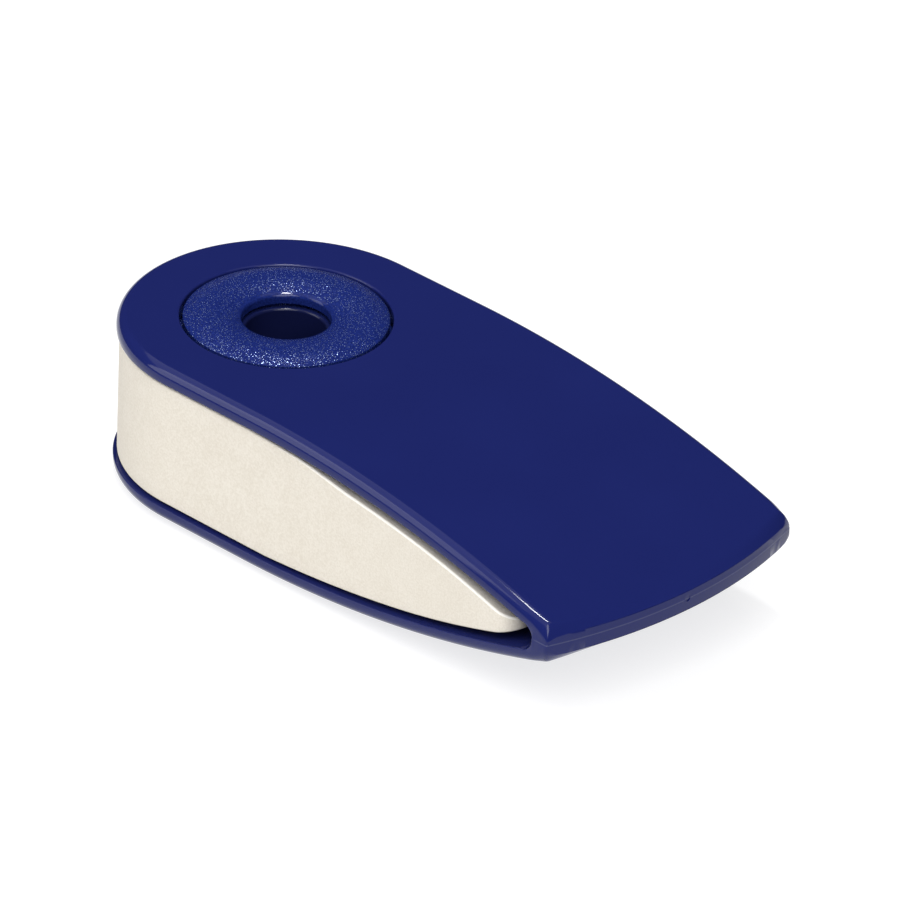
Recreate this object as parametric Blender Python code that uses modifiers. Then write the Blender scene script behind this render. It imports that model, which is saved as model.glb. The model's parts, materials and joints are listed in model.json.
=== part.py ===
"""Swivel eraser: a rubber block that turns out of a one-piece plastic sleeve on a hollow snap hub.

Metres, +Z up. The shapes are drawn about the hub: its axis is local Z and the middle plane is local Z = 0,
with +X towards the thin end. One empty on the hub's axis then carries every piece to its place.
"""

import math

import bmesh
import bpy

# Sleeve, in plan
HEAD_RADIUS = 0.0125
END_FLARE = 0.00018
TIP_REACH = 0.0412
END_ARC_RADIUS = 0.0395
CORNER_EXTRA = 0.00005

# Sleeve, from the side
SLEEVE_HEIGHT = 0.0125
PLATE_THICKNESS = 0.00115
FLAT_REACH = 0.0082
TIP_HEIGHT = 0.00154
EDGE_ROUND = 0.00085
SLOT_END_RADIUS = 0.0011

# Hub
PLATE_HOLE_RADIUS = 0.00785
HOLE_EDGE_ROUND = 0.00015
HUB_GAP = 0.0003
HUB_RISE = 0.00045
LAND_WIDTH = 0.0005
LIP_ROLL_WIDTH = 0.00215
LIP_SLOPE = math.radians(27.0)
EDGE_SLOPE = math.radians(30.0)
EDGE_BEND_RADIUS = 0.0011
EDGE_BEND_SLOPE = math.radians(80.0)
DRUM_OVERLAP = 0.0007
DRUM_WALL = 0.0009
TUBE_BORE_RADIUS = 0.0030
THROAT_STEP = 0.0003
LIP_DEPTH = 0.0012
TUBE_WALL = 0.00075
SOCKET_WALL = 0.00075
SOCKET_FLOOR_GAP = 0.0027
TUBE_RIM_ROUND = 0.0002

# Eraser block
BLOCK_HEIGHT = 0.0092
ERASER_INSET = 0.0003
ERASER_EDGE_ROUND = 0.0004
NOSE_ARC_RADIUS = 0.060
NOSE_CORNER_RADIUS = 0.0018
NOSE_CLEARANCE = 0.0006
NOSE_EDGE = 0.0006
NOSE_RELIEF = 0.0003
RELIEF_START = 0.024
SWING_CLEARANCE = 0.0002

# Fits
SEAT_GAP = 0.0003

# Facets
HEAD_STEPS = 44
END_STEPS = 14
CORNER_STEPS = 5
CAMBER_STATION = 0.0016
ROUND_STEPS = 3
TURN_STEPS = 56
ROLL_STEPS = 6
CUT_MARGIN = 0.002

half_height = SLEEVE_HEIGHT / 2
corner_radius = EDGE_ROUND + CORNER_EXTRA
camber_run = TIP_REACH - FLAT_REACH
camber_fall = (SLEEVE_HEIGHT - TIP_HEIGHT) / 2
camber_radius = (camber_run**2 + camber_fall**2) / (2 * camber_fall)
disc_radius = PLATE_HOLE_RADIUS - HUB_GAP
crest = half_height + HUB_RISE
tube_radius = TUBE_BORE_RADIUS + TUBE_WALL
socket_radius = tube_radius + SEAT_GAP
spigot_radius = socket_radius + SOCKET_WALL
throat_radius = TUBE_BORE_RADIUS + THROAT_STEP
drum_radius = PLATE_HOLE_RADIUS + DRUM_OVERLAP
drum_inside = drum_radius - DRUM_WALL
bore_radius = drum_radius + SEAT_GAP
pivot_x = (HEAD_RADIUS - TIP_REACH) / 2


def camber_drop(x):
    """How far the plates have fallen towards the middle plane at this distance from the hub."""
    run = min(max(x - FLAT_REACH, 0.0), 0.95 * camber_radius)
    return camber_radius - math.sqrt(camber_radius**2 - run**2)


def inner_half_gap(x):
    return half_height - PLATE_THICKNESS - camber_drop(x)


def side_slope(head, half_width, reach):
    """The angle of the straight side that leaves the round head and has this half width at the reach."""
    return math.acos(head / math.hypot(reach, half_width)) - math.atan2(reach, half_width)


def corner_centre(head, slope, corner, along):
    """A corner's centre, this far along the straight side and a corner radius inside it."""
    inside = head - corner
    return (
        along * math.cos(slope) - inside * math.sin(slope),
        along * math.sin(slope) + inside * math.cos(slope),
    )


def plan_outline(head, slope, corner, corner_xy, arc_centre_x, arc_radius):
    """Points round a plan shape, from the end's middle, by the +Y side and the round head, and back."""
    cx, cy = corner_xy
    meet = math.atan2(cy, cx - arc_centre_x)
    points = []
    for i in range(END_STEPS):
        a = meet * i / END_STEPS
        points.append((arc_centre_x + arc_radius * math.cos(a), arc_radius * math.sin(a)))
    turn = math.pi / 2 + slope
    for i in range(CORNER_STEPS + 1):
        a = meet + (turn - meet) * i / CORNER_STEPS
        points.append((cx + corner * math.cos(a), cy + corner * math.sin(a)))
    for i in range(HEAD_STEPS // 2):
        a = turn + (math.pi - turn) * i / (HEAD_STEPS // 2)
        points.append((head * math.cos(a), head * math.sin(a)))
    middle = [(-head, 0.0)]
    mirrored = [(x, -y) for x, y in reversed(points[1:])]
    return points + middle + mirrored


def new_material(name, colour, roughness):
    material = bpy.data.materials.new(name)
    material.use_nodes = True
    shader = material.node_tree.nodes["Principled BSDF"]
    shader.inputs["Base Color"].default_value = (*colour, 1.0)
    shader.inputs["Roughness"].default_value = roughness
    shader.inputs["Metallic"].default_value = 0.0
    return material


def curve_mesh(name, points, half_depth, edge_round, group):
    """A flat closed outline made solid: drawn as a filled 2D curve with a rounded rim, then made a mesh."""
    curve = bpy.data.curves.new(name + "_outline", "CURVE")
    curve.dimensions = "2D"
    curve.fill_mode = "BOTH"
    curve.extrude = half_depth - edge_round
    curve.bevel_depth = edge_round
    curve.bevel_resolution = ROUND_STEPS - 1
    curve.offset = -edge_round
    spline = curve.splines.new("POLY")
    spline.points.add(len(points) - 1)
    for point, (x, y) in zip(spline.points, points):
        point.co = (x, y, 0.0, 1.0)
    spline.use_cyclic_u = True
    drawn = bpy.data.objects.new(name + "_outline", curve)
    group.objects.link(drawn)
    bpy.context.view_layer.update()
    graph = bpy.context.evaluated_depsgraph_get()
    mesh = bpy.data.meshes.new_from_object(drawn.evaluated_get(graph))
    mesh.name = name
    solid = bpy.data.objects.new(name, mesh)
    solid.matrix_world = drawn.matrix_world
    group.objects.link(solid)
    bpy.data.objects.remove(drawn)
    shape = bmesh.new()
    shape.from_mesh(mesh)
    bmesh.ops.remove_doubles(shape, verts=shape.verts, dist=1e-6)
    bmesh.ops.recalc_face_normals(shape, faces=shape.faces)
    shape.to_mesh(mesh)
    shape.free()
    return solid


def camber(solid, drop, start, end, least):
    """Cuts a plan solid across at even stations and brings its faces in by the drop, down to the least."""
    shape = bmesh.new()
    shape.from_mesh(solid.data)
    count = max(int((end - start) / CAMBER_STATION), 1)
    for i in range(count):
        where = (start + (end - start) * i / count, 0.0, 0.0)
        everything = shape.verts[:] + shape.edges[:] + shape.faces[:]
        bmesh.ops.bisect_plane(shape, geom=everything, dist=1e-7, plane_co=where, plane_no=(1.0, 0.0, 0.0))
    for vert in shape.verts:
        height = max(abs(vert.co.z) - drop(vert.co.x), least)
        vert.co.z = math.copysign(height, vert.co.z)
    bmesh.ops.triangulate(shape, faces=shape.faces)
    shape.to_mesh(solid.data)
    shape.free()


def turned(name, profile, group):
    """A closed profile, drawn down its outer side and up its inner side, turned about Z."""
    mesh = bpy.data.meshes.new(name)
    count = len(profile)
    points = [(r, 0.0, z) for r, z in profile]
    mesh.from_pydata(points, [(i, (i + 1) % count) for i in range(count)], [])
    solid = bpy.data.objects.new(name, mesh)
    group.objects.link(solid)
    screw = solid.modifiers.new("turn", "SCREW")
    screw.axis = "Z"
    screw.angle = 2 * math.pi
    screw.steps = screw.render_steps = TURN_STEPS
    screw.use_merge_vertices = True
    screw.merge_threshold = 0.00001
    screw.use_smooth_shade = True
    return solid


def cut(solid, cutter):
    tool = solid.modifiers.new("cut_" + cutter.name, "BOOLEAN")
    tool.operation = "DIFFERENCE"
    tool.solver = "EXACT"
    tool.object = cutter


def roll(centre_r, centre_z, radius, first, last):
    """Points along a turned profile's rounding, between two angles measured from the outward direction."""
    return [
        (centre_r + radius * math.cos(a), centre_z + radius * math.sin(a))
        for a in (first + (last - first) * i / ROLL_STEPS for i in range(ROLL_STEPS + 1))
    ]


for old in list(bpy.data.objects):
    bpy.data.objects.remove(old)

pieces = bpy.data.collections.new("eraser_with_sleeve")
cutters = bpy.data.collections.new("eraser_with_sleeve_cutters")
cutters.hide_render = True
for group in (pieces, cutters):
    bpy.context.scene.collection.children.link(group)

blue_gloss = new_material("sleeve_blue", (0.013, 0.019, 0.13), 0.18)
blue_textured = new_material("hub_upper_blue", (0.018, 0.031, 0.16), 0.5)
blue_textured_low = new_material("hub_lower_blue", (0.018, 0.031, 0.16), 0.5)
cream = new_material("eraser_cream", (0.84, 0.78, 0.69), 0.75)

# Sleeve: a rounded plan solid, cambered above and below, with the slot and the hub's holes cut through
sleeve_slope = side_slope(HEAD_RADIUS, HEAD_RADIUS + END_FLARE, TIP_REACH)
end_centre_x = TIP_REACH - END_ARC_RADIUS
inside = HEAD_RADIUS - corner_radius
shift = end_centre_x * math.cos(sleeve_slope)
offset = inside + end_centre_x * math.sin(sleeve_slope)
sleeve_along = shift + math.sqrt((END_ARC_RADIUS - corner_radius) ** 2 - offset**2)
sleeve_corner = corner_centre(HEAD_RADIUS, sleeve_slope, corner_radius, sleeve_along)
sleeve_plan = plan_outline(
    HEAD_RADIUS, sleeve_slope, corner_radius, sleeve_corner, end_centre_x, END_ARC_RADIUS
)
sleeve = curve_mesh("sleeve", sleeve_plan, half_height, EDGE_ROUND, pieces)
camber(sleeve, camber_drop, FLAT_REACH, TIP_REACH, TIP_HEIGHT / 2)

# The slot follows the plates' inner faces to where the gap is as high as the round that ends it
end_drop = half_height - PLATE_THICKNESS - SLOT_END_RADIUS
slot_end_x = FLAT_REACH + math.sqrt(end_drop * (2 * camber_radius - end_drop))
slot_reach = slot_end_x + SLOT_END_RADIUS
stations = [FLAT_REACH + i * CAMBER_STATION for i in range(int((slot_end_x - FLAT_REACH) / CAMBER_STATION))]
slot_side = [(-HEAD_RADIUS - CUT_MARGIN, inner_half_gap(0.0))]
slot_side += [(x, inner_half_gap(x)) for x in stations]
for i in range(2 * ROUND_STEPS):
    a = math.pi / 2 * (1 - i / (2 * ROUND_STEPS))
    slot_side.append((slot_end_x + SLOT_END_RADIUS * math.cos(a), SLOT_END_RADIUS * math.sin(a)))
slot_shape = slot_side + [(slot_reach, 0.0)] + [(x, -z) for x, z in reversed(slot_side)]
slot_depth = HEAD_RADIUS + max(END_FLARE, 0.0) + CUT_MARGIN
slot = curve_mesh("slot_cutter", slot_shape, slot_depth, 0.0, cutters)
slot.rotation_euler = (math.pi / 2, 0.0, 0.0)
cut(sleeve, slot)

# The holes' outer edges are rounded, so the cutter flares at the plates' faces
flare = PLATE_HOLE_RADIUS + HOLE_EDGE_ROUND
above = half_height + CUT_MARGIN
low_centre = half_height - HOLE_EDGE_ROUND
upper_flare = roll(flare, low_centre, HOLE_EDGE_ROUND, math.pi / 2, math.pi)
lower_flare = [(r, -z) for r, z in reversed(upper_flare)]
hole_profile = [(0.0, above), (flare, above)] + upper_flare + lower_flare + [(flare, -above), (0.0, -above)]
hole = turned("plate_hole_cutter", hole_profile, cutters)
cut(sleeve, hole)

# Eraser block: no thicker than can still swing past both plates with its sides at their widest
block_head = HEAD_RADIUS - ERASER_INSET
block_slope = sleeve_slope
nose_limit = slot_reach - NOSE_CLEARANCE
nose_inside = block_head - NOSE_CORNER_RADIUS
nose_along = math.sqrt((nose_limit - NOSE_CORNER_RADIUS) ** 2 - nose_inside**2)
nose_corner = corner_centre(block_head, block_slope, NOSE_CORNER_RADIUS, nose_along)
nose_span = NOSE_ARC_RADIUS - NOSE_CORNER_RADIUS
nose_centre_x = nose_corner[0] - math.sqrt(nose_span**2 - nose_corner[1] ** 2)
nose_reach = nose_centre_x + NOSE_ARC_RADIUS
block_plan = plan_outline(
    block_head, block_slope, NOSE_CORNER_RADIUS, nose_corner, nose_centre_x, NOSE_ARC_RADIUS
)


def block_half_height(x):
    """Half the block's height: the plates' gap at its side's reach, with some relief towards the nose."""
    side = block_head / math.cos(block_slope) + max(x, 0.0) * math.tan(block_slope)
    relief = NOSE_RELIEF * max((x - RELIEF_START) / (nose_reach - RELIEF_START), 0.0) ** 2
    room = inner_half_gap(math.hypot(max(x, 0.0), side)) - SWING_CLEARANCE - relief
    return max(min(room, BLOCK_HEIGHT / 2), NOSE_EDGE / 2)


block_half = block_half_height(0.0)
block = curve_mesh("eraser_block", block_plan, block_half, ERASER_EDGE_ROUND, pieces)
camber(block, lambda x: block_half - block_half_height(x), 0.0, nose_reach, NOSE_EDGE / 4)

bpy.ops.mesh.primitive_cylinder_add(
    vertices=TURN_STEPS, radius=bore_radius, depth=2 * (half_height + CUT_MARGIN), location=(0.0, 0.0, 0.0)
)
bore = bpy.context.active_object
bore.name = "bore_cutter"
for owner in list(bore.users_collection):
    owner.objects.unlink(bore)
cutters.objects.link(bore)
cut(block, bore)

# Hub: two turned halves, each a hollow drum in the block's bore under a disc in the plate's hole.
# The upper one's socket takes the lower one's tube
drum_top = half_height - PLATE_THICKNESS - SEAT_GAP
drum_ceiling = drum_top - DRUM_WALL
drum_foot = SEAT_GAP / 2
lip_floor = crest - LIP_DEPTH
socket_foot = SOCKET_FLOOR_GAP - drum_ceiling
land_inner = throat_radius + LIP_ROLL_WIDTH
land_outer = land_inner + LAND_WIDTH
lip_roll = LIP_ROLL_WIDTH / math.sin(LIP_SLOPE)
inner_roll = roll(land_inner, crest - lip_roll, lip_roll, math.pi / 2 + LIP_SLOPE, math.pi / 2)

# Outside its land the disc rolls over gently, then bends sharply into its wall, in half the width at most
edge_width = disc_radius - land_outer
bend_share = math.sin(EDGE_BEND_SLOPE) - math.sin(EDGE_SLOPE)
bend = min(EDGE_BEND_RADIUS, edge_width / (2 * bend_share))
edge_roll = (edge_width - bend * bend_share) / math.sin(EDGE_SLOPE)
outer_roll = roll(land_outer, crest - edge_roll, edge_roll, math.pi / 2, math.pi / 2 - EDGE_SLOPE)
bend_r = disc_radius - bend * math.sin(EDGE_BEND_SLOPE)
bend_z = crest - edge_roll + (edge_roll - bend) * math.cos(EDGE_SLOPE)
edge_bend = roll(bend_r, bend_z, bend, math.pi / 2 - EDGE_SLOPE, math.pi / 2 - EDGE_BEND_SLOPE)
face = inner_roll + outer_roll + edge_bend[1:]

drum = [
    (disc_radius, drum_top),
    (drum_radius, drum_top),
    (drum_radius, drum_foot),
    (drum_inside, drum_foot),
    (drum_inside, drum_ceiling),
]
upper_profile = face + drum + [
    (spigot_radius, drum_ceiling),
    (spigot_radius, socket_foot),
    (socket_radius, socket_foot),
    (socket_radius, lip_floor),
    (throat_radius, lip_floor),
]
hub_upper = turned("hub_upper_half", upper_profile, pieces)

tube_top = lip_floor - SEAT_GAP
rim_centre = tube_top - TUBE_RIM_ROUND
outer_rim = roll(tube_radius - TUBE_RIM_ROUND, rim_centre, TUBE_RIM_ROUND, math.pi / 2, 0.0)
inner_rim = roll(TUBE_BORE_RADIUS + TUBE_RIM_ROUND, rim_centre, TUBE_RIM_ROUND, math.pi, math.pi / 2)
throat_floor = -crest + LIP_DEPTH
lower_half = [(r, -z) for r, z in reversed(face + drum)]
lower_profile = outer_rim + [(tube_radius, -drum_ceiling)] + lower_half
lower_profile += [(throat_radius, throat_floor), (TUBE_BORE_RADIUS, throat_floor)] + inner_rim
hub_lower = turned("hub_lower_half", lower_profile, pieces)

# Everything hangs on one empty on the hub's axis, which sets the part down over the middle of its box
pivot = bpy.data.objects.new("hub_axis", None)
pieces.objects.link(pivot)
pivot.location = (pivot_x, 0.0, crest)
for piece in (sleeve, block, hub_upper, hub_lower, slot, hole, bore):
    piece.parent = pivot
for cutter in (slot, hole, bore):
    cutter.hide_render = True
    cutter.display_type = "WIRE"

looks = ((sleeve, blue_gloss), (block, cream), (hub_upper, blue_textured), (hub_lower, blue_textured_low))
for piece, material in looks:
    piece.data.materials.append(material)
for piece in (sleeve, block):
    piece.data.shade_smooth()
    piece.data.set_sharp_from_angle(angle=math.radians(35.0))
bpy.context.view_layer.update()
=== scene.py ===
import json
import math

import bmesh
import bpy
from mathutils import Matrix, Vector


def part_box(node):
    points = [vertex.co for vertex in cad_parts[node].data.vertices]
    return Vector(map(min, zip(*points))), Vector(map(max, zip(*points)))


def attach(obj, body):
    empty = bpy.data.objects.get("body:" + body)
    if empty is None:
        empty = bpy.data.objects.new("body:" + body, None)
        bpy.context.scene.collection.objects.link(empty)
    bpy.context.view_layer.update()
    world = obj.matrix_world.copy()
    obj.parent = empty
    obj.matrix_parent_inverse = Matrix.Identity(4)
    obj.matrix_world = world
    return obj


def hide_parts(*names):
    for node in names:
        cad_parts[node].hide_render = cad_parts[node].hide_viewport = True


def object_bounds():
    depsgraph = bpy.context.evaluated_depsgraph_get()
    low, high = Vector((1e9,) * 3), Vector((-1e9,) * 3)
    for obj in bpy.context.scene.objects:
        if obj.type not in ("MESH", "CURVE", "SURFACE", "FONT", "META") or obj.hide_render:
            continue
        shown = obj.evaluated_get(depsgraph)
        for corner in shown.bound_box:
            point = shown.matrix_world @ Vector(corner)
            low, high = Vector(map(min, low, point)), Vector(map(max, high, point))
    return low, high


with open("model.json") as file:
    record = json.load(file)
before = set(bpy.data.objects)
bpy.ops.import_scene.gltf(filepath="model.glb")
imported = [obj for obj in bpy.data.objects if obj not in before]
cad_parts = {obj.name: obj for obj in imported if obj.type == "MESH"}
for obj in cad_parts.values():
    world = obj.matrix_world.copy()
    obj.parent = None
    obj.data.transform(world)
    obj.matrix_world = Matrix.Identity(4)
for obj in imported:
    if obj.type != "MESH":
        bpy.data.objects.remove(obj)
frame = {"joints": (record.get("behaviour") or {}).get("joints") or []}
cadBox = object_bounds()
mm = 0.001
tiny = 1e-7  # points on one level
near = 1e-6  # points in one place
throughDepth = 40 * mm  # a cutter this long passes right through
smoothAngle = math.radians(40)
faceWeight = 60  # how far large faces set the shading at their edges
hub = Vector(frame["joints"][0]["pos_m"])  # the swing axis, at the sleeve's middle plane
print("frame loaded, hub at", [round(value / mm, 3) for value in hub], "mm")


# Small helpers around edit mode. Pieces are shaped with their origin on the hub

def selectOnly(piece):
    bpy.ops.object.select_all(action="DESELECT")
    piece.select_set(True)
    bpy.context.view_layer.objects.active = piece


def enterEdit(piece):
    selectOnly(piece)
    bpy.ops.object.mode_set(mode="EDIT")
    bpy.ops.mesh.select_mode(type="VERT")
    bpy.ops.mesh.select_all(action="SELECT")


def leaveEdit():
    bpy.ops.object.mode_set(mode="OBJECT")


def closeSolid():
    bpy.ops.mesh.select_all(action="SELECT")
    bpy.ops.mesh.normals_make_consistent(inside=False)
    leaveEdit()


def pick(piece, kind, test):
    bpy.ops.mesh.select_mode(type=kind)
    bpy.ops.mesh.select_all(action="DESELECT")
    shape = bmesh.from_edit_mesh(piece.data)
    for part in {"VERT": shape.verts, "EDGE": shape.edges, "FACE": shape.faces}[kind]:
        if test(part):
            part.select_set(True)
    bmesh.update_edit_mesh(piece.data)


def pull(x, y, z):
    bpy.ops.mesh.extrude_region_move(TRANSFORM_OT_translate={"value": (x, y, z)})


def applyModifier(piece, kind, **settings):
    selectOnly(piece)
    modifier = piece.modifiers.new(kind.lower(), kind)
    for name, value in settings.items():
        setattr(modifier, name, value)
    bpy.ops.object.modifier_apply(modifier=modifier.name)


def cutAway(piece, cutter):
    applyModifier(piece, "BOOLEAN", operation="DIFFERENCE", solver="EXACT", object=cutter)
    bpy.data.objects.remove(cutter)


def cutBore(piece, radius, steps):
    bpy.ops.mesh.primitive_cylinder_add(
        vertices=steps, radius=radius, depth=throughDepth, location=hub
    )
    cutAway(piece, bpy.context.object)


def roundPicked(width, segments):
    bpy.ops.mesh.bevel(offset=width, segments=segments, profile=0.5, affect="EDGES")


def finishPiece(piece, material, body, node):
    selectOnly(piece)
    bpy.ops.object.transform_apply(location=True, rotation=True, scale=True)
    bpy.ops.object.shade_smooth_by_angle(angle=smoothAngle)
    applyModifier(piece, "WEIGHTED_NORMAL", keep_sharp=True, weight=faceWeight)
    piece.data.materials.clear()
    piece.data.materials.append(material)
    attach(piece, body)
    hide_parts(node)
    triangles = sum(len(face.vertices) - 2 for face in piece.data.polygons)
    print(piece.name, "done,", triangles, "triangles")


# Plan shapes: round head on the hub, straight sides, corners and a bowed end

def sideSlope(head, halfWidth, reach):
    return math.acos(head / math.hypot(reach, halfWidth)) - math.atan2(reach, halfWidth)


def planFace(name, plan, level):
    head, slope = plan["head"], plan["slope"]
    corner, cornerRound = plan["corner"], plan["cornerRound"]
    bpy.ops.mesh.primitive_circle_add(vertices=plan["headSteps"], radius=head, location=hub)
    piece = bpy.context.object
    piece.name = piece.data.name = name
    enterEdit(piece)
    pick(piece, "VERT", lambda vert: vert.co.x > near or vert.co.y < -near)  # one quarter stays
    bpy.ops.mesh.delete(type="VERT")
    pick(piece, "VERT", lambda vert: vert.co.x > -near)
    sideEnd = corner + cornerRound * Vector((-math.sin(slope), math.cos(slope), 0))
    pull(sideEnd.x, sideEnd.y - head, 0)
    meet = math.atan2(corner.y, corner.x - plan["endCentre"])
    if cornerRound:
        turn = math.pi / 2 + slope - meet
        bpy.ops.mesh.spin(
            steps=plan["cornerSteps"], angle=turn, center=hub + corner, axis=(0, 0, 1)
        )
    endCentre = hub + Vector((plan["endCentre"], 0, 0))
    bpy.ops.mesh.spin(steps=plan["endSteps"], angle=meet, center=endCentre, axis=(0, 0, 1))
    leaveEdit()
    applyModifier(piece, "MIRROR", use_axis=(False, True, False), merge_threshold=near)
    enterEdit(piece)
    bpy.ops.mesh.edge_face_add()
    bpy.ops.transform.translate(value=(0, 0, level))
    return piece


def cutStations(stations, along=Vector((1, 0, 0))):
    for place in stations:
        bpy.ops.mesh.select_all(action="SELECT")
        bpy.ops.mesh.bisect(plane_co=hub + along * place, plane_no=along)


def roundRims(piece, level, width, segments):
    def onRim(edge):
        first, last = (vert.co.z for vert in edge.verts)
        return abs(abs(first) - level) < tiny and abs(first - last) < tiny

    enterEdit(piece)
    pick(piece, "EDGE", onRim)
    roundPicked(width, segments)
    leaveEdit()


def stationsAlong(start, end, step):
    count = round((end - start) / step)
    return [start + (end - start) * i / count for i in range(count)]


# Shader maths: a Link wraps a socket, and expressions on Links add Math nodes

class Link:
    def __init__(self, tree, socket=None):
        self.tree = tree
        self.socket = socket

    def node(self, kind, settings, sockets, out=0):
        made = self.tree.nodes.new(kind)
        for name, value in settings.items():
            setattr(made, name, value)
        for name, value in sockets.items():
            if isinstance(value, Link):
                self.tree.links.new(value.socket, made.inputs[name])
            else:
                made.inputs[name].default_value = value
        return Link(self.tree, made.outputs[out])

    def maths(self, operation, first, second):
        return self.node("ShaderNodeMath", {"operation": operation}, {0: first, 1: second})

    def __add__(self, other):
        return self.maths("ADD", self, other)

    __radd__ = __add__

    def __sub__(self, other):
        return self.maths("SUBTRACT", self, other)

    def __rsub__(self, other):
        return self.maths("SUBTRACT", other, self)

    def __mul__(self, other):
        return self.maths("MULTIPLY", self, other)

    __rmul__ = __mul__

    def __abs__(self):
        return self.maths("ABSOLUTE", self, 0)

    def axis(self, vector, index):
        return self.node("ShaderNodeSeparateXYZ", {}, {0: vector}, out=index)

    def noise(self, place, size, detail=2.0, roughness=0.5):
        sockets = {"Vector": place, "Scale": 1 / size, "Detail": detail, "Roughness": roughness}
        return self.node("ShaderNodeTexNoise", {}, sockets)

    def between(self, value, low, high, first=0.0, last=1.0):
        sockets = {"Value": value, "From Min": low, "From Max": high}
        sockets.update({"To Min": first, "To Max": last})
        return self.node("ShaderNodeMapRange", {"interpolation_type": "SMOOTHSTEP"}, sockets)

    def mixColour(self, share, first, second):
        shades = [shade if isinstance(shade, Link) else (*shade, 1) for shade in (first, second)]
        sockets = {"Factor": share, 6: shades[0], 7: shades[1]}  # 6 and 7 are its two colours
        return self.node("ShaderNodeMix", {"data_type": "RGBA"}, sockets, out=2)

    def bump(self, height, depth, under=None):
        sockets = {"Height": height, "Distance": depth, "Strength": 1.0}
        if under:
            sockets["Normal"] = under
        return self.node("ShaderNodeBump", {}, sockets)


def startMaterial(name):
    material = bpy.data.materials.new(name)
    material.use_nodes = True
    start = Link(material.node_tree)
    place = start.node("ShaderNodeTexCoord", {}, {}, out=3)  # Object coordinates
    return material, start, place


def setShader(material, links, values):
    shader = material.node_tree.nodes["Principled BSDF"]
    for name, value in values.items():
        shader.inputs[name].default_value = value
    for name, link in links.items():
        material.node_tree.links.new(link.socket, shader.inputs[name])


glossBlue = {
    "deep": (0.0079, 0.0121, 0.0868),
    "light": (0.0094, 0.0146, 0.0994),
    "roughness": 0.08,
    "roughnessSpread": 0.04,
    "cloudSize": 9.0 * mm,
    "peelSize": 2.6 * mm,
    "peelDepth": 0.0012 * mm,
    "dustSize": 0.35 * mm,
    "dustLow": 0.45,
    "dustHigh": 0.75,
    # painted highlight: the lighter colour of the line along the parting step
    "partingHighlight": (0.040, 0.047, 0.130),
    "partingHighlightHalf": 0.05 * mm,
    "partingHighlightCore": 0.4,
    "partingHighlightFade": 0.5 * mm,
    "ior": 1.32,
}


def makeGlossBlue():
    material, link, place = startMaterial("sleeveGlossBlue")
    cloud = link.noise(place, glossBlue["cloudSize"])
    dust = link.noise(place, glossBlue["dustSize"], detail=3.0, roughness=0.6)
    colour = link.mixColour(cloud, glossBlue["deep"], glossBlue["light"])
    # The parting step on the end gets a thin line of painted highlight, lighter than the blue
    line = hub.z + sleeveShape["partingLevel"] - sleeveShape["partingRise"] / 2
    half, endStart = glossBlue["partingHighlightHalf"], hub.x + slotReach
    aside = abs(link.axis(place, 2) - line)
    onLine = link.between(aside, glossBlue["partingHighlightCore"] * half, half, 1, 0)
    onEnd = link.between(link.axis(place, 0), endStart, endStart + glossBlue["partingHighlightFade"])
    colour = link.mixColour(onLine * onEnd, colour, glossBlue["partingHighlight"])
    dusty = link.between(dust, glossBlue["dustLow"], glossBlue["dustHigh"])
    roughness = glossBlue["roughness"] + glossBlue["roughnessSpread"] * dusty
    peel = link.noise(place, glossBlue["peelSize"], detail=1.0)
    normal = link.bump(peel, glossBlue["peelDepth"])
    links = {"Base Color": colour, "Roughness": roughness, "Normal": normal}
    setShader(material, links, {"IOR": glossBlue["ior"]})
    return material


grainBlue = {
    "deep": (0.0054, 0.0116, 0.0880),
    "light": (0.0106, 0.0219, 0.1470),
    # painted shade: the darker colour of the bore below the tube's top
    "tube": (0.0050, 0.0072, 0.040),
    "tubeTop": 5.35 * mm,
    "tubeFade": 0.2 * mm,
    "tubeRoughness": 0.30,
    "roughness": 0.10,
    "lipRoughness": 0.05,
    "lipGloss": 0.38,
    "lipRadius": 3.62 * mm,
    "lipFade": 0.06 * mm,
    "grainSize": 0.13 * mm,
    "grainLow": 0.3,
    "grainHigh": 0.7,
    "grainDepth": 0.045 * mm,
    "glint": (0.42, 0.54, 0.86),
    "glintSpacing": 0.135 * mm,
    "glintRadius": 0.036 * mm,
    "glintCore": 0.6,
    "glintRoughness": 0.32,
    "ior": 1.15,
}


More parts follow.
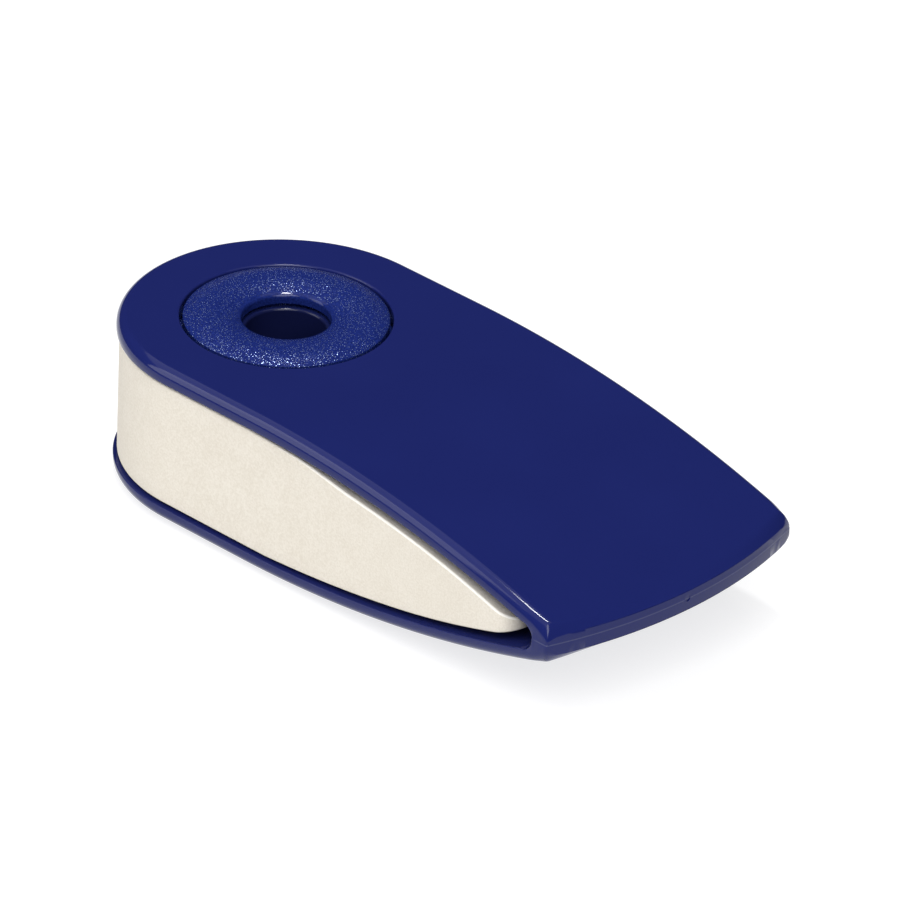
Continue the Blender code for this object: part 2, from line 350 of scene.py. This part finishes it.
def makeGrainBlue(name):
    material, link, place = startMaterial(name)
    fromHub = link.node("ShaderNodeVectorMath", {"operation": "SUBTRACT"}, {0: place, 1: hub})
    flat = link.node("ShaderNodeVectorMath", {"operation": "MULTIPLY"}, {0: fromHub, 1: (1, 1, 0)})
    radius = link.node("ShaderNodeVectorMath", {"operation": "LENGTH"}, {0: flat}, out=1)
    lip, lipFade = grainBlue["lipRadius"], grainBlue["lipFade"]
    textured = link.between(radius, lip - lipFade, lip + lipFade)
    grain = link.noise(place, grainBlue["grainSize"], detail=1.0)
    shade = link.between(grain, grainBlue["grainLow"], grainBlue["grainHigh"])
    colour = link.mixColour(shade, grainBlue["deep"], grainBlue["light"])
    # Painted shade: inside the lip, the bore below the tube's top is painted darker
    height, tubeTop = abs(link.axis(fromHub, 2)), grainBlue["tubeTop"]
    deepDown = link.between(height, tubeTop - grainBlue["tubeFade"], tubeTop, 1, 0)
    deepDown = deepDown * (1 - textured)
    colour = link.mixColour(deepDown, colour, grainBlue["tube"])
    # Bright points of the spark-eroded face, each a small mirror-like facet
    spacing = grainBlue["glintSpacing"]
    apart = link.node("ShaderNodeTexVoronoi", {}, {"Vector": place, "Scale": 1 / spacing})
    edge = grainBlue["glintRadius"] / spacing
    glint = link.between(apart, grainBlue["glintCore"] * edge, edge, 1, 0) * textured
    colour = link.mixColour(glint, colour, grainBlue["glint"])
    lipRoughness = grainBlue["lipRoughness"]
    roughness = lipRoughness + (grainBlue["roughness"] - lipRoughness) * textured
    roughness = roughness + (grainBlue["glintRoughness"] - grainBlue["roughness"]) * glint
    roughness = roughness + (grainBlue["tubeRoughness"] - lipRoughness) * deepDown
    normal = link.bump(grain * textured, grainBlue["grainDepth"])
    gloss = grainBlue["lipGloss"] * (1 - textured)
    links = {"Base Color": colour, "Metallic": glint, "Roughness": roughness, "Normal": normal}
    links["Coat Weight"] = gloss
    setShader(material, links, {"IOR": grainBlue["ior"]})
    return material


creamRubber = {
    "deep": (0.600, 0.552, 0.472),
    "light": (0.689, 0.648, 0.576),
    "roughness": 0.66,
    "roughnessSpread": 0.15,
    "mottleShare": 0.25,
    "mottleSize": 2.4 * mm,
    "speckleSize": 0.16 * mm,
    "speckleDepth": 0.016 * mm,
    "mottleDepth": 0.015 * mm,
    "shadeLow": 0.30,
    "shadeHigh": 0.70,
    # painted highlight: the lighter colour of the upper rim
    "paintedRimHighlight": (0.860, 0.830, 0.770),
    "ior": 1.45,
}


def makeCreamRubber():
    material, link, place = startMaterial("eraserCreamRubber")
    mottle = link.noise(place, creamRubber["mottleSize"], detail=4.0, roughness=0.6)
    speckle = link.noise(place, creamRubber["speckleSize"], detail=3.0, roughness=0.6)
    share = creamRubber["mottleShare"]
    blend = share * mottle + (1 - share) * speckle
    shade = link.between(blend, creamRubber["shadeLow"], creamRubber["shadeHigh"])
    colour = link.mixColour(shade, creamRubber["deep"], creamRubber["light"])
    # Painted highlight: the marked upper rim is painted lighter
    edge = link.node("ShaderNodeAttribute", {"attribute_name": "paintedRimHighlight"}, {}, out=2)
    colour = link.mixColour(edge, colour, creamRubber["paintedRimHighlight"])
    roughness = creamRubber["roughness"] + creamRubber["roughnessSpread"] * speckle
    waves = link.bump(mottle, creamRubber["mottleDepth"])
    normal = link.bump(speckle, creamRubber["speckleDepth"], waves)
    links = {"Base Color": colour, "Roughness": roughness, "Normal": normal}
    setShader(material, links, {"IOR": creamRubber["ior"]})
    return material


# Sleeve: one glossy moulding, two cambered plates joined by the bend at the thin end

sleeveLow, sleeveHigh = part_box("sleeve")
sleeveShape = {
    "head": hub.x - sleeveLow.x,
    "tipReach": sleeveHigh.x - hub.x,
    "halfHeight": sleeveHigh.z - hub.z,
    "endFlare": 0.18 * mm,
    "endArc": 39.5 * mm,
    "plate": 1.15 * mm,
    "flatReach": 8.2 * mm,
    "tipHeight": 1.54 * mm,
    "edgeRound": 0.85 * mm,
    "rimSteps": 12,
    "headSteps": 192,
    "endSteps": 16,
    "cornerFoot": 0.27 * mm,
    "cornerReach": 1.3 * mm,
    "cornerKeep": 0.35 * mm,
    "creaseAngle": math.radians(14),
    "creaseRound": 0.10 * mm,
    "creaseSteps": 3,
    "lowCreaseRound": 0.20 * mm,
    "lowCreaseSteps": 4,
    "slotEndRound": 1.1 * mm,
    "slotEndSteps": 12,
    "slotStation": 1 * mm,
    "slotOvershoot": 2 * mm,
    "floorHollow": 0.12 * mm,
    "hollowHalf": 13.0 * mm,
    "hollowSteps": 13,
    "hole": 7.85 * mm,
    "holeSteps": 192,
    "holeRound": 0.15 * mm,
    "holeRoundSteps": 5,
    "sharpAngle": math.radians(48),
    "innerRound": 0.07 * mm,
    "innerRoundSteps": 3,
    "partingLevel": 0.2 * mm,
    "partingStep": 0.05 * mm,
    "partingRise": 0.10 * mm,
    "partingKeep": 0.3 * mm,
    "gateRadius": 0.26 * mm,
    "gateSteps": 32,
    "gateDepth": 0.07 * mm,
    "gateAcross": -0.3 * mm,
    "station": 0.5 * mm,
}
halfHeight = sleeveShape["halfHeight"]
camberRun = sleeveShape["tipReach"] - sleeveShape["flatReach"]
camberFall = halfHeight - sleeveShape["tipHeight"] / 2
camberRadius = (camberRun**2 + camberFall**2) / (2 * camberFall)
endHalf = sleeveShape["head"] + sleeveShape["endFlare"]
slope = sideSlope(sleeveShape["head"], endHalf, sleeveShape["tipReach"])


def camberDrop(x):
    run = max(x - sleeveShape["flatReach"], 0)
    return camberRadius - math.sqrt(camberRadius**2 - run**2)


def innerGap(x):
    return halfHeight - sleeveShape["plate"] - camberDrop(x)


def alongSide(head, cornerRound, distance):
    inside = head - cornerRound
    x = distance * math.cos(slope) - inside * math.sin(slope)
    return Vector((x, distance * math.sin(slope) + inside * math.cos(slope), 0))


endDrop = halfHeight - sleeveShape["plate"] - sleeveShape["slotEndRound"]
slotEnd = sleeveShape["flatReach"] + math.sqrt(endDrop * (2 * camberRadius - endDrop))
slotReach = slotEnd + sleeveShape["slotEndRound"]


def hollowFloor(cutter):
    # The slot's floor is a little hollow across, so the low-lying block's corners swing clear of it
    half, steps = sleeveShape["hollowHalf"], sleeveShape["hollowSteps"]
    cutStations([half * (2 * i / steps - 1) for i in range(steps + 1)], Vector((0, 1, 0)))
    shape = bmesh.from_edit_mesh(cutter.data)
    for vert in shape.verts:
        if vert.co.z < hub.z:
            vert.co.z -= sleeveShape["floorHollow"] * max(1 - (vert.co.y / half) ** 2, 0)
    bmesh.update_edit_mesh(cutter.data)


def makeSlotCutter():
    flatReach, over = sleeveShape["flatReach"], sleeveShape["slotOvershoot"]
    left = -sleeveShape["head"] - over
    middle = hub + Vector(((left + flatReach) / 2, 0, 0))
    bpy.ops.mesh.primitive_plane_add(size=2, location=middle, rotation=(math.pi / 2, 0, 0))
    cutter = bpy.context.object
    bpy.ops.object.transform_apply(location=True, rotation=True, scale=True)
    enterEdit(cutter)
    halfLength = (flatReach - left) / 2
    bpy.ops.transform.resize(value=(halfLength, 1, innerGap(0)), center_override=middle)
    stations = stationsAlong(flatReach, slotEnd, sleeveShape["slotStation"])[1:]
    steps = [(x, innerGap(x)) for x in stations]
    end, endSteps = sleeveShape["slotEndRound"], sleeveShape["slotEndSteps"]
    for i in range(endSteps):
        angle = math.pi / 2 * i / endSteps
        steps.append((slotEnd + end * math.sin(angle), end * math.cos(angle)))
    lastX, lastGap = flatReach, innerGap(0)
    pick(cutter, "EDGE", lambda edge: all(vert.co.x > hub.x + lastX - near for vert in edge.verts))
    for x, gap in steps:
        pull(x - lastX, 0, 0)
        place = hub + Vector((x, 0, 0))
        bpy.ops.transform.resize(value=(1, 1, gap / lastGap), center_override=place)
        lastX, lastGap = x, gap
    bpy.ops.mesh.select_all(action="SELECT")
    halfDepth = sleeveShape["head"] + over
    bpy.ops.transform.translate(value=(0, -halfDepth, 0))
    pull(0, 2 * halfDepth, 0)
    hollowFloor(cutter)
    closeSolid()
    return cutter


def edgeDistances(x, y):
    head, endArc = sleeveShape["head"], sleeveShape["endArc"]
    across = abs(y)
    if x * math.cos(slope) + across * math.sin(slope) > 0:
        side = head - across * math.cos(slope) + x * math.sin(slope)
    else:
        side = head - math.hypot(x, y)
    return side, endArc - math.hypot(x - sleeveShape["tipReach"] + endArc, y)


def plateHeight(x, y, inset):
    # The rim rolls over along the sides and falls to a band of even height along the end,
    # and both run down to a low foot at the mitred corner
    rim = sleeveShape["edgeRound"]
    side, end = (distance - inset for distance in edgeDistances(x, y))
    top = halfHeight - camberDrop(x)
    depth = max(min(side, end), 0)
    if depth >= rim:
        return top
    sway = max(-1, min(1, (side - end) / sleeveShape["cornerReach"]))
    foot = min(sleeveShape["tipHeight"] / 2 if sway > 0 else top - rim, top)
    cornerFoot = sleeveShape["cornerFoot"]
    foot = cornerFoot + (foot - cornerFoot) * (1 - (1 - abs(sway)) ** 2)
    outside = 1 - depth / rim
    rolled, falling = math.sqrt(max(1 - outside**2, 0)), 1 - outside**2
    return foot + (top - foot) * (rolled + (falling - rolled) * (1 + sway) / 2)


def insetRim():
    rim, steps = sleeveShape["edgeRound"], sleeveShape["rimSteps"]
    for i in range(steps):
        angle, nextAngle = math.pi / 2 * i / steps, math.pi / 2 * (i + 1) / steps
        step = rim * (math.cos(angle) - math.cos(nextAngle))
        bpy.ops.mesh.inset(thickness=step, use_even_offset=True)


def cutGate(piece):
    # A small round mark on the parting line in the middle of the end
    across, endArc = sleeveShape["gateAcross"], sleeveShape["endArc"]
    face = sleeveShape["tipReach"] - endArc + math.sqrt(endArc**2 - across**2)
    depth = 2 * sleeveShape["gateDepth"]
    place = hub + Vector((face, across, sleeveShape["partingLevel"]))
    bpy.ops.mesh.primitive_cylinder_add(
        vertices=sleeveShape["gateSteps"], radius=sleeveShape["gateRadius"], depth=depth,
        location=place, rotation=(0, math.pi / 2, 0),
    )
    cutAway(piece, bpy.context.object)


def bevelSleeve(piece):
    hole, parting = sleeveShape["hole"], sleeveShape["partingLevel"]

    def onHoleRim(edge):
        onFace = all(abs(abs(vert.co.z) - halfHeight) < near for vert in edge.verts)
        return onFace and all(abs(vert.co.xy.length - hole) < near for vert in edge.verts)

    def onCrease(edge, upper):
        first, last = edge.verts
        if abs(first.co.z - last.co.z) < near or (first.co.z + last.co.z > 2 * parting) != upper:
            return False
        gaps = [edgeDistances(vert.co.x, vert.co.y) for vert in edge.verts]
        onMitre = all(abs(side - end) < 4 * near for side, end in gaps)
        return onMitre and edge.calc_face_angle() > sleeveShape["creaseAngle"]

    def isSharp(edge):
        if not edge.is_manifold or edge.calc_face_angle() < sleeveShape["sharpAngle"]:
            return False
        middle = (edge.verts[0].co + edge.verts[1].co) / 2
        if middle.x < slotReach:
            return True
        side, end = edgeDistances(middle.x, middle.y)
        awayFromParting = abs(middle.z - parting) > sleeveShape["partingKeep"]
        return awayFromParting and abs(side - end) >= sleeveShape["cornerKeep"]

    enterEdit(piece)
    pick(piece, "EDGE", onHoleRim)
    roundPicked(sleeveShape["holeRound"], sleeveShape["holeRoundSteps"])
    pick(piece, "EDGE", lambda edge: onCrease(edge, True))
    roundPicked(sleeveShape["creaseRound"], sleeveShape["creaseSteps"])
    pick(piece, "EDGE", lambda edge: onCrease(edge, False))
    roundPicked(sleeveShape["lowCreaseRound"], sleeveShape["lowCreaseSteps"])
    pick(piece, "EDGE", isSharp)
    roundPicked(sleeveShape["innerRound"], sleeveShape["innerRoundSteps"])
    leaveEdit()


def makeSleeve(material):
    head, endArc = sleeveShape["head"], sleeveShape["endArc"]
    endCentre = sleeveShape["tipReach"] - endArc
    offset = head + endCentre * math.sin(slope)
    distance = endCentre * math.cos(slope) + math.sqrt(endArc**2 - offset**2)
    plan = {
        "head": head,
        "slope": slope,
        "corner": alongSide(head, 0, distance),
        "cornerRound": 0,
        "endCentre": endCentre,
        "headSteps": sleeveShape["headSteps"],
        "endSteps": sleeveShape["endSteps"],
    }
    piece = planFace("sleeveShell", plan, -halfHeight)
    parting, rise = sleeveShape["partingLevel"], sleeveShape["partingRise"]
    pull(0, 0, halfHeight + parting - rise)
    bpy.ops.mesh.inset(thickness=sleeveShape["partingStep"], depth=rise, use_even_offset=True)
    pull(0, 0, halfHeight - parting)
    insetRim()
    pick(piece, "FACE", lambda face: all(vert.co.z < -halfHeight + tiny for vert in face.verts))
    insetRim()
    start, end = sleeveShape["flatReach"], sleeveShape["tipReach"]
    cutStations(stationsAlong(start, end, sleeveShape["station"]))
    shape = bmesh.from_edit_mesh(piece.data)
    for vert in shape.verts:
        if abs(vert.co.z) > halfHeight - tiny:
            upper = vert.co.z > 0
            inset = sleeveShape["partingStep"] if upper else 0
            height = plateHeight(vert.co.x, vert.co.y, inset)
            vert.co.z = height if upper else -height
    bmesh.update_edit_mesh(piece.data)
    closeSolid()
    cutAway(piece, makeSlotCutter())
    cutBore(piece, sleeveShape["hole"], sleeveShape["holeSteps"])
    cutGate(piece)
    bevelSleeve(piece)
    finishPiece(piece, material, "sleeve", "sleeve")


makeSleeve(makeGlossBlue())


# Eraser: a cream block, bored for the hub, thin enough to swing past both plates

eraserShape = {
    "height": 9.2 * mm,
    "drop": 0.28 * mm,
    "headTop": 4.85 * mm,
    "headEnd": 8.8 * mm,
    "bodyStart": 19.0 * mm,
    "bodyLift": 0.1 * mm,
    "leastPlay": 0.04 * mm,
    "inset": 0.3 * mm,
    "edgeRound": 0.15 * mm,
    "edgeSteps": 6,
    "edgeFoot": 0.05 * mm,
    "edgeMargin": 0.02,
    "headSteps": 192,
    "noseArc": 60.0 * mm,
    "noseSteps": 24,
    "noseCorner": 1.8 * mm,
    "cornerSteps": 14,
    "noseClearance": 0.6 * mm,
    "noseEdge": 0.6 * mm,
    "noseRelief": 0.3 * mm,
    "reliefStart": 24.0 * mm,
    "swingClearance": 0.2 * mm,
    "bore": 8.85 * mm,
    "boreSteps": 128,
    "station": 0.5 * mm,
}


def camberBlock(piece, surface, rimHighlightShare, stations, level):
    rim, margin = eraserShape["edgeRound"], eraserShape["edgeMargin"]
    enterEdit(piece)
    cutStations(stations)
    shape = bmesh.from_edit_mesh(piece.data)
    # Painted highlight: the rounded upper rim is marked to be painted lighter, fading in along the
    # body
    paintedRimHighlight = shape.verts.layers.float.new("paintedRimHighlight")  # marks the rounded upper rim
    for vert in shape.verts:
        upper = vert.co.z > 0
        top = surface(vert.co.x, upper)
        rimFoot = max(top - rim, eraserShape["edgeFoot"])
        share = (abs(vert.co.z) - level + rim) / rim
        onRim = upper and margin < share < 1 - margin
        vert[paintedRimHighlight] = rimHighlightShare(vert.co.x) if onRim else 0.0
        vert.co.z = math.copysign(rimFoot + share * (top - rimFoot), vert.co.z)
    bmesh.update_edit_mesh(piece.data)
    leaveEdit()


def makeEraser(material):
    head, noseCorner = sleeveShape["head"] - eraserShape["inset"], eraserShape["noseCorner"]
    limit = slotReach - eraserShape["noseClearance"]
    distance = math.sqrt((limit - noseCorner) ** 2 - (head - noseCorner) ** 2)
    corner = alongSide(head, noseCorner, distance)
    span = eraserShape["noseArc"] - noseCorner
    endCentre = corner.x - math.sqrt(span**2 - corner.y**2)
    noseReach = endCentre + eraserShape["noseArc"]
    plan = {
        "head": head,
        "slope": slope,
        "corner": corner,
        "cornerRound": noseCorner,
        "endCentre": endCentre,
        "headSteps": eraserShape["headSteps"],
        "cornerSteps": eraserShape["cornerSteps"],
        "endSteps": eraserShape["noseSteps"],
    }

    def swingGap(x):
        # The room under the plates where the side's point at x swings past their middle
        side = head / math.cos(slope) + max(x, 0) * math.tan(slope)
        return innerGap(math.hypot(max(x, 0), side))

    def blockHalf(x):
        start = eraserShape["reliefStart"]
        along = max((x - start) / (noseReach - start), 0)
        gap = swingGap(x) - eraserShape["swingClearance"] - eraserShape["noseRelief"] * along**2
        return max(min(gap, eraserShape["height"] / 2), eraserShape["noseEdge"] / 2)

    def bodyShare(x):
        start, end = eraserShape["headEnd"], eraserShape["bodyStart"]
        share = min(max((x - start) / (end - start), 0), 1)
        return share * share * (3 - 2 * share)

    def blockFace(x, upper):
        # The upper face fills the sleeve over the head and falls away to the body's level,
        # and keeps the least play that lets it swing
        half = blockHalf(x)
        if not upper:
            return half
        crown = eraserShape["headTop"] + eraserShape["drop"]
        top = crown + (half + eraserShape["bodyLift"] - crown) * bodyShare(x)
        return min(top, swingGap(x) - eraserShape["leastPlay"] + eraserShape["drop"])

    thick = blockHalf(0)
    piece = planFace("eraserBlock", plan, -thick)
    pull(0, 0, 2 * thick)
    closeSolid()
    roundRims(piece, thick, eraserShape["edgeRound"], eraserShape["edgeSteps"])
    stations = stationsAlong(0, noseReach, eraserShape["station"])
    camberBlock(piece, blockFace, bodyShare, stations, thick)
    cutBore(piece, eraserShape["bore"], eraserShape["boreSteps"])
    piece.location.z -= eraserShape["drop"]  # the block lies low in its play between the plates
    finishPiece(piece, material, "eraser", "eraser_block")


makeEraser(makeCreamRubber())


# Hub: two turned halves, each a hollow drum in the block's bore under a grained disc.
# The upper one's socket takes the lower one's tube

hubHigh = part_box("hub_upper_half")[1]
hubShape = {
    "crest": hubHigh.z - hub.z,
    "drum": hubHigh.x - hub.x,
    "drumWall": 0.9 * mm,
    "disc": 7.60 * mm,
    "landWidth": 0.5 * mm,
    "lipWidth": 2.15 * mm,
    "lipSlope": math.radians(27),
    "edgeSlope": math.radians(30),
    "edgeBend": 0.6 * mm,
    "bendSlope": math.radians(46),
    "lipRound": 0.33 * mm,
    "tubeBore": 3.0 * mm,
    "throatStep": 0.3 * mm,
    "lipDepth": 1.2 * mm,
    "tubeWall": 0.75 * mm,
    "socketWall": 0.75 * mm,
    "socketFloorGap": 2.7 * mm,
    "rimRound": 0.2 * mm,
    "seatGap": 0.3 * mm,
    "turnSteps": 320,
    "lipSteps": 7,
    "innerSteps": 20,
    "landSteps": 5,
    "edgeSteps": 11,
    "bendSteps": 10,
    "rimSteps": 6,
    "grainInner": 3.60 * mm,
    "grainOuter": 7.40 * mm,
    "grainReach": 0.75 * mm,
    "grainFade": 0.15 * mm,
    "grainSize": 0.26 * mm,
    "grainDepth": 0.02 * mm,
}


def arcPoints(centreR, centreZ, radius, first, last, steps):
    angles = [first + (last - first) * i / steps for i in range(steps + 1)]
    return [(centreR + radius * math.cos(a), centreZ + radius * math.sin(a)) for a in angles]


def turnProfile(name, profile):
    bpy.ops.mesh.primitive_plane_add(size=1 * mm, location=hub)  # merged to one point below
    piece = bpy.context.object
    piece.name = piece.data.name = name
    enterEdit(piece)
    bpy.ops.mesh.merge(type="CENTER")
    bpy.ops.transform.translate(value=(profile[0][0], 0, profile[0][1]))
    for (r, z), (nextR, nextZ) in zip(profile, profile[1:]):
        pull(nextR - r, 0, nextZ - z)
    pull(profile[0][0] - profile[-1][0], 0, profile[0][1] - profile[-1][1])
    bpy.ops.mesh.select_all(action="SELECT")
    bpy.ops.mesh.remove_doubles(threshold=near)
    bpy.ops.mesh.spin(steps=hubShape["turnSteps"], angle=2 * math.pi, center=hub, axis=(0, 0, 1))
    bpy.ops.mesh.select_all(action="SELECT")
    bpy.ops.mesh.remove_doubles(threshold=near)
    closeSolid()
    return piece


def hubFace():
    crest = hubShape["crest"]
    lipSlope, edgeSlope = hubShape["lipSlope"], hubShape["edgeSlope"]
    throat = hubShape["tubeBore"] + hubShape["throatStep"]
    landInner = throat + hubShape["lipWidth"]
    landOuter = landInner + hubShape["landWidth"]
    lipRound = hubShape["lipRound"]
    lipStart = throat + lipRound * (1 - math.sin(lipSlope))
    bigRoll = (landInner - lipStart) / math.sin(lipSlope)
    bend, bendSlope = hubShape["edgeBend"], hubShape["bendSlope"]
    bendWidth = bend * (math.sin(bendSlope) - math.sin(edgeSlope))
    edgeRoll = (hubShape["disc"] - landOuter - bendWidth) / math.sin(edgeSlope)
    lipTop = crest - bigRoll * (1 - math.cos(lipSlope)) - lipRound * math.cos(lipSlope)
    quarter = math.pi / 2
    lip = arcPoints(
        throat + lipRound, lipTop, lipRound, math.pi, quarter + lipSlope, hubShape["lipSteps"]
    )
    inner = arcPoints(
        landInner, crest - bigRoll, bigRoll, quarter + lipSlope, quarter, hubShape["innerSteps"]
    )
    landSteps = hubShape["landSteps"]
    land = [(landInner + hubShape["landWidth"] * i / landSteps, crest) for i in range(1, landSteps)]
    outer = arcPoints(
        landOuter, crest - edgeRoll, edgeRoll, quarter, quarter - edgeSlope, hubShape["edgeSteps"]
    )
    bendR = hubShape["disc"] - bend * math.sin(bendSlope)
    bendZ = crest - edgeRoll + (edgeRoll - bend) * math.cos(edgeSlope)
    wall = arcPoints(
        bendR, bendZ, bend, quarter - edgeSlope, quarter - bendSlope, hubShape["bendSteps"]
    )
    return lip[:-1] + inner + land + outer + wall[1:]


def grainFace(piece, outward):
    # Real relief on the disc's face, let down from the turned surface so it stays inside it
    grained = piece.vertex_groups.new(name="grain")
    for vert in piece.data.vertices:
        radius = vert.co.xy.length
        fromEdge = min(radius - hubShape["grainInner"], hubShape["grainOuter"] - radius)
        if outward * vert.co.z > hubShape["crest"] - hubShape["grainReach"] and fromEdge > 0:
            grained.add([vert.index], min(fromEdge / hubShape["grainFade"], 1), "REPLACE")
    texture = bpy.data.textures.new("grainClouds", "CLOUDS")
    texture.noise_scale = hubShape["grainSize"]
    texture.noise_depth = 1
    applyModifier(
        piece, "DISPLACE", texture=texture, texture_coords="LOCAL", direction="Z", mid_level=1.0,
        strength=outward * hubShape["grainDepth"], vertex_group="grain",
    )


def makeHub():
    crest, gap = hubShape["crest"], hubShape["seatGap"]
    drumTop = innerGap(0) - gap
    ceiling = drumTop - hubShape["drumWall"]
    drumInside = hubShape["drum"] - hubShape["drumWall"]
    lipFloor = crest - hubShape["lipDepth"]
    throat = hubShape["tubeBore"] + hubShape["throatStep"]
    tube = hubShape["tubeBore"] + hubShape["tubeWall"]
    socket = tube + gap
    spigot = socket + hubShape["socketWall"]
    foot = hubShape["socketFloorGap"] - ceiling
    half = hubFace() + [
        (hubShape["disc"], drumTop),
        (hubShape["drum"], drumTop),
        (hubShape["drum"], gap / 2),
        (drumInside, gap / 2),
        (drumInside, ceiling),
    ]
    upper = half + [
        (spigot, ceiling),
        (spigot, foot),
        (socket, foot),
        (socket, lipFloor),
        (throat, lipFloor),
    ]
    upperDisc = turnProfile("hubUpperDisc", upper)
    grainFace(upperDisc, 1)
    grain = makeGrainBlue("hubUpperGrain")
    finishPiece(upperDisc, grain, "eraser", "hub_upper_half")
    rim, rimSteps, tubeBore = hubShape["rimRound"], hubShape["rimSteps"], hubShape["tubeBore"]
    rimCentre = lipFloor - gap - rim
    outerRim = arcPoints(tube - rim, rimCentre, rim, math.pi / 2, 0, rimSteps)
    innerRim = arcPoints(tubeBore + rim, rimCentre, rim, math.pi, math.pi / 2, rimSteps)
    lower = outerRim + [(tube, -ceiling)]
    lower += [(r, -z) for r, z in reversed(half)]
    lower += [(throat, -lipFloor), (tubeBore, -lipFloor)] + innerRim
    lowerDisc = turnProfile("hubLowerDisc", lower)
    grainFace(lowerDisc, -1)
    grain = makeGrainBlue("hubLowerGrain")
    finishPiece(lowerDisc, grain, "eraser", "hub_lower_half")


makeHub()


# Stage: a pale floor, soft lights and the photograph's camera

stage = {
    "floorSize": 3.0,
    "floorShade": (0.30, 0.30, 0.30),
    "floorRoughness": 0.9,
    "floorGlow": 0.76,
    "backShade": 1.0,
    "roomShade": 0.025,
}


def makeFloor():
    bpy.ops.mesh.primitive_plane_add(size=stage["floorSize"], location=(0, 0, cadBox[0][2]))
    floor = bpy.context.object
    floor.name = "paleFloor"
    material = startMaterial("palePaper")[0]
    setShader(material, {}, {
        "Base Color": (*stage["floorShade"], 1),
        "Roughness": stage["floorRoughness"],
        "Emission Color": (1, 1, 1, 1),
        "Emission Strength": stage["floorGlow"],
    })
    floor.data.materials.append(material)


def makeWorld():
    world = bpy.data.worlds.new("studio")
    bpy.context.scene.world = world
    world.use_nodes = True
    tree = world.node_tree
    link = Link(tree)
    seen = link.node("ShaderNodeLightPath", {}, {})  # the backdrop is bright, the room dim
    strength = stage["roomShade"] + (stage["backShade"] - stage["roomShade"]) * seen
    tree.links.new(strength.socket, tree.nodes["Background"].inputs["Strength"])
    tree.nodes["Background"].inputs["Color"].default_value = (1, 1, 1, 1)


# Each softbox: its direction and distance from the hub, its width's direction,
# its size and its brightness
softboxes = {
    "frontPanel": {
        "towards": (-0.545, -0.65, 0.53),
        "across": (0.766, -0.643, 0),
        "distance": 0.8,
        "width": 0.46,
        "height": 0.63,
        "radiance": 2.78,
    },
    "overheadKey": {
        "towards": (-0.06, 0.08, 1.0),
        "across": (1, 0, 0),
        "distance": 0.8,
        "width": 0.12,
        "height": 0.12,
        "radiance": 55.0,
    },
    "overheadSoft": {
        "towards": (-0.2, -0.05, 1.0),
        "across": (1, 0, 0),
        "distance": 1.0,
        "width": 1.5,
        "height": 1.3,
        "radiance": 0.8,
    },
    "rightFill": {
        "towards": (0.53, -0.48, 0.74),
        "across": (1, 0, 0),
        "distance": 0.9,
        "width": 0.8,
        "height": 0.6,
        "radiance": 5.35,
    },
}


def makeLights():
    for name, box in softboxes.items():
        lamp = bpy.data.lights.new(name, "AREA")
        lamp.shape = "RECTANGLE"
        lamp.size, lamp.size_y = box["width"], box["height"]
        lamp.energy = box["radiance"] * math.pi * box["width"] * box["height"]
        light = bpy.data.objects.new(name, lamp)
        towards = Vector(box["towards"]).normalized()
        across = Vector(box["across"])
        across = (across - towards * across.dot(towards)).normalized()
        facing = Matrix((across, towards.cross(across), towards)).transposed().to_4x4()
        light.matrix_world = Matrix.Translation(hub + towards * box["distance"]) @ facing
        light.visible_camera = False
        bpy.context.scene.collection.objects.link(light)


# Measured on the photograph: azimuth, elevation and roll of the view, and the hub's place
# before the lens
photoView = {
    "azimuth": math.radians(43.42),
    "elevation": math.radians(29.361),
    "roll": math.radians(-2.205),
    "hubRight": -12.179 * mm,
    "hubDown": -4.367 * mm,
    "hubAway": 881.485 * mm,
    "focalPixels": 12000,
    "imagePixels": 900,
    "sensorWidth": 36,
    "clipStart": 0.01,
    "clipEnd": 20,
}


def makeCamera():
    azimuth, elevation, roll = photoView["azimuth"], photoView["elevation"], photoView["roll"]
    outward = Vector((-math.sin(azimuth), math.cos(azimuth), 0))
    ahead = outward * math.cos(elevation) - Vector((0, 0, math.sin(elevation)))
    level = Vector((math.cos(azimuth), math.sin(azimuth), 0))
    down = ahead.cross(level)
    right = level * math.cos(roll) + down * math.sin(roll)
    down = -level * math.sin(roll) + down * math.cos(roll)
    lens = bpy.data.cameras.new("photoCamera")
    lens.sensor_width = photoView["sensorWidth"]
    lens.lens = photoView["focalPixels"] * lens.sensor_width / photoView["imagePixels"]
    lens.clip_start, lens.clip_end = photoView["clipStart"], photoView["clipEnd"]
    camera = bpy.data.objects.new("photoCamera", lens)
    place = hub - right * photoView["hubRight"] - down * photoView["hubDown"]
    place = place - ahead * photoView["hubAway"]
    turn = Matrix((right, -down, -ahead)).transposed().to_4x4()
    camera.matrix_world = Matrix.Translation(place) @ turn
    bpy.context.scene.collection.objects.link(camera)
    bpy.context.scene.camera = camera


makeFloor()
makeWorld()
makeLights()
makeCamera()
bpy.context.scene.view_settings.view_transform = "Standard"
print("stage, lights and camera set")
